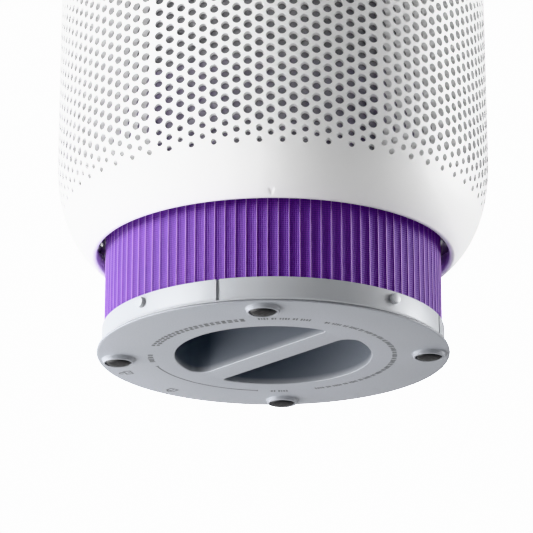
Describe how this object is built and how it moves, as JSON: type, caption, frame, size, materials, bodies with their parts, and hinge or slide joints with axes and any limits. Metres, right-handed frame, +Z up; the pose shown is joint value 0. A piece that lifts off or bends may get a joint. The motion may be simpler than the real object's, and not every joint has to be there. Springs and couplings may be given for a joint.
{
  "type": "air purifier",
  "caption": "Round tabletop air purifier with a perforated white casing and a pleated filter cartridge drawn out below, its base with finger grip and twist lock.",
  "frame": {"origin": "on the floor, under the centre of the four rubber feet, with the cartridge drawn out as in the picture", "axes": "+Z up along the casing's axis, +Y towards the power inlet at the back, +X to the right seen from the front"},
  "size_m": [0.22, 0.22, 0.411],
  "materials": {
    "casing_white": "fine satin moulded white",
    "base_grey": "satin light blue-grey, finely textured",
    "band_white": "satin cool off-white",
    "rubber_black": "soft matt rubber",
    "filter_purple": "pleated fibre sheet under a fine net",
    "filter_cap": "satin moulded mid grey",
    "foam_grey": "open cell foam",
    "carbon_black": "granular carbon cloth",
    "dark_plastic": "matt black moulded",
    "fan_plastic": "satin dark grey moulded",
    "steel": "zinc plated",
    "copper": "enamelled wire",
    "circuit_board": "solder mask",
    "component_black": "moulded component body",
    "lens_black": "polished smoked",
    "button_grey": "satin"
  },
  "bodies": {
    "upper_unit": {"outer_casing": "casing_white", "catch_ring": "casing_white", "power_inlet": "dark_plastic", "inlet_pin_left": "steel", "inlet_pin_right": "steel", "inlet_lead": "rubber_black", "fan_bulkhead": "dark_plastic", "inlet_guard": "dark_plastic", "bulkhead_screw_1": "steel", "bulkhead_screw_2": "steel", "bulkhead_screw_3": "steel", "bulkhead_screw_4": "steel", "tag_reader": "circuit_board", "fan_duct": "dark_plastic", "diffuser": "dark_plastic", "motor_cover": "dark_plastic", "motor_case": "steel", "motor_cap": "steel", "motor_stator": "copper", "lower_bearing": "steel", "upper_bearing": "steel", "motor_board": "circuit_board", "motor_grommet_1": "rubber_black", "motor_grommet_2": "rubber_black", "motor_grommet_3": "rubber_black", "motor_screw_1": "steel", "motor_screw_2": "steel", "motor_screw_3": "steel", "top_deck": "casing_white", "outlet_grille": "casing_white", "display_pod": "casing_white", "display_lens": "lens_black", "display_board": "circuit_board", "button_switch": "component_black", "main_board": "circuit_board", "board_transformer": "component_black", "board_capacitor": "component_black", "dust_sensor": "component_black"},
    "fan_rotor": {"impeller": "fan_plastic", "motor_shaft": "steel", "motor_rotor": "steel", "hub_nut": "steel"},
    "button": {"mode_button": "button_grey"},
    "filter": {"filter_media": "filter_purple", "carbon_sleeve": "carbon_black", "filter_core": "filter_cap", "filter_bottom_cap": "filter_cap", "filter_top_cap": "filter_cap", "filter_gasket": "foam_grey", "filter_tag": "circuit_board"},
    "base": {"base_cover": "base_grey", "base_band": "band_white", "foot_pad_right": "rubber_black", "foot_pad_back": "rubber_black", "foot_pad_left": "rubber_black", "foot_pad_front": "rubber_black", "base_screw_right": "steel", "base_screw_back": "steel", "base_screw_left": "steel", "base_screw_front": "steel"}
  },
  "joints": [
    {"name": "cartridge_slide", "type": "slide", "parent": "upper_unit", "child": "filter", "axis": [0, 0, 1], "range_m": [-0.095, 0.051]},
    {"name": "base_twist", "type": "hinge", "parent": "filter", "child": "base", "pos_m": [0, 0, 0.0119], "axis": [0, 0, 1], "range_deg": [0, 28]},
    {"name": "fan_spin", "type": "hinge", "parent": "upper_unit", "child": "fan_rotor", "pos_m": [0, 0, 0.24], "axis": [0, 0, 1], "continuous": true},
    {"name": "button_press", "type": "slide", "parent": "upper_unit", "child": "button", "axis": [0, 0, -1], "range_m": [0, 0.0008], "stiffness_N_per_m": 600}
  ]
}
